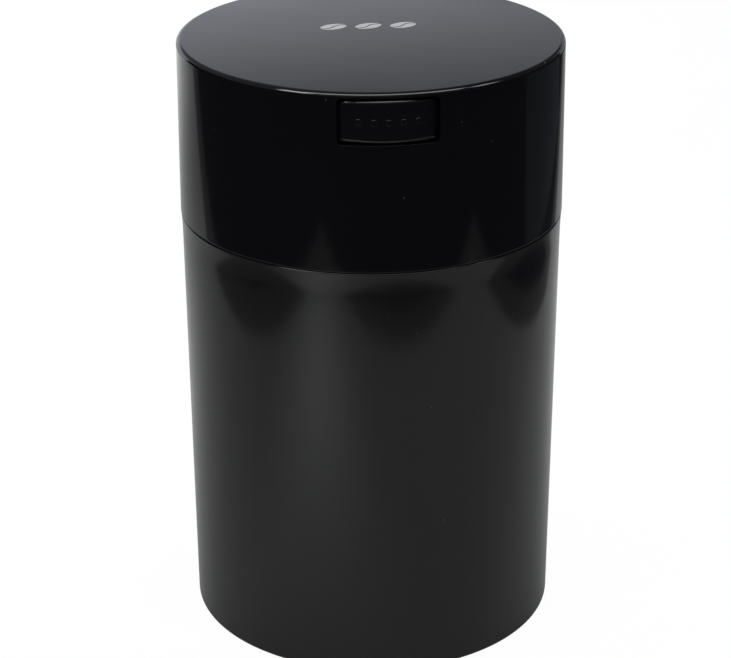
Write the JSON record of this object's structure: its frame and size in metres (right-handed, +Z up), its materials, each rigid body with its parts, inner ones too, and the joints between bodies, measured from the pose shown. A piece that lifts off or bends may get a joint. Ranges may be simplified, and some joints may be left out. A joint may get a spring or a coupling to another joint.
{
  "type": "coffee canister",
  "caption": "Tall round coffee canister with a gloss lift-off lid, a side press button that opens a vent valve in the lid, and a ring seal in the jar's mouth.",
  "frame": {"origin": "centre of the foot ring, on the surface that the canister stands on", "axes": "+Z up along the canister's axis, -Y towards the side with the button"},
  "size_m": [0.1218, 0.1218, 0.194],
  "materials": {
    "jar_plastic": "satin black moulded plastic",
    "lid_plastic": "gloss black moulded plastic",
    "button_plastic": "gloss black moulded plastic",
    "plug_plastic": "fine-textured black moulded plastic",
    "seal_silicone": "matt grey silicone",
    "valve_acetal": "natural white acetal",
    "washer_rubber": "matt red-brown silicone rubber",
    "pin_steel": "ground steel",
    "screw_steel": "zinc-plated steel",
    "spring_steel": "drawn spring wire",
    "strainer_steel": "punched stainless sheet"
  },
  "bodies": {
    "canister": {"canister_body": "jar_plastic"},
    "seal_ring": {"lid_seal": "seal_silicone"},
    "lid": {"lid_cap": "lid_plastic", "inner_plug": "plug_plastic", "valve_bridge": "valve_acetal", "bridge_screws": "screw_steel", "vent_strainer": "strainer_steel", "button_spring": "spring_steel", "valve_spring": "spring_steel"},
    "button": {"press_button": "button_plastic"},
    "valve": {"valve_poppet": "valve_acetal", "valve_washer": "washer_rubber", "cross_pin": "pin_steel"}
  },
  "joints": [
    {"name": "lid_lift", "type": "slide", "parent": "canister", "child": "seal_ring", "axis": [0, 0, 1], "range_m": [0, 0.15]},
    {"name": "lid_turn", "type": "hinge", "parent": "seal_ring", "child": "lid", "pos_m": [0, 0, 0.17], "axis": [0, 0, 1], "continuous": true},
    {"name": "button_press", "type": "slide", "parent": "lid", "child": "button", "axis": [0, 1, 0], "range_m": [0, 0.004], "stiffness_N_per_m": 500, "springref_m": -0.003, "deforming": ["button_spring"]},
    {"name": "valve_lift", "type": "slide", "parent": "lid", "child": "valve", "axis": [0, 0, 1], "range_m": [0, 0.002], "stiffness_N_per_m": 200, "springref_m": -0.0015, "deforming": ["valve_spring"]}
  ],
  "couplings": [
    {"joint": "valve_lift", "follows": "button_press", "ratio": 0.5}
  ]
}
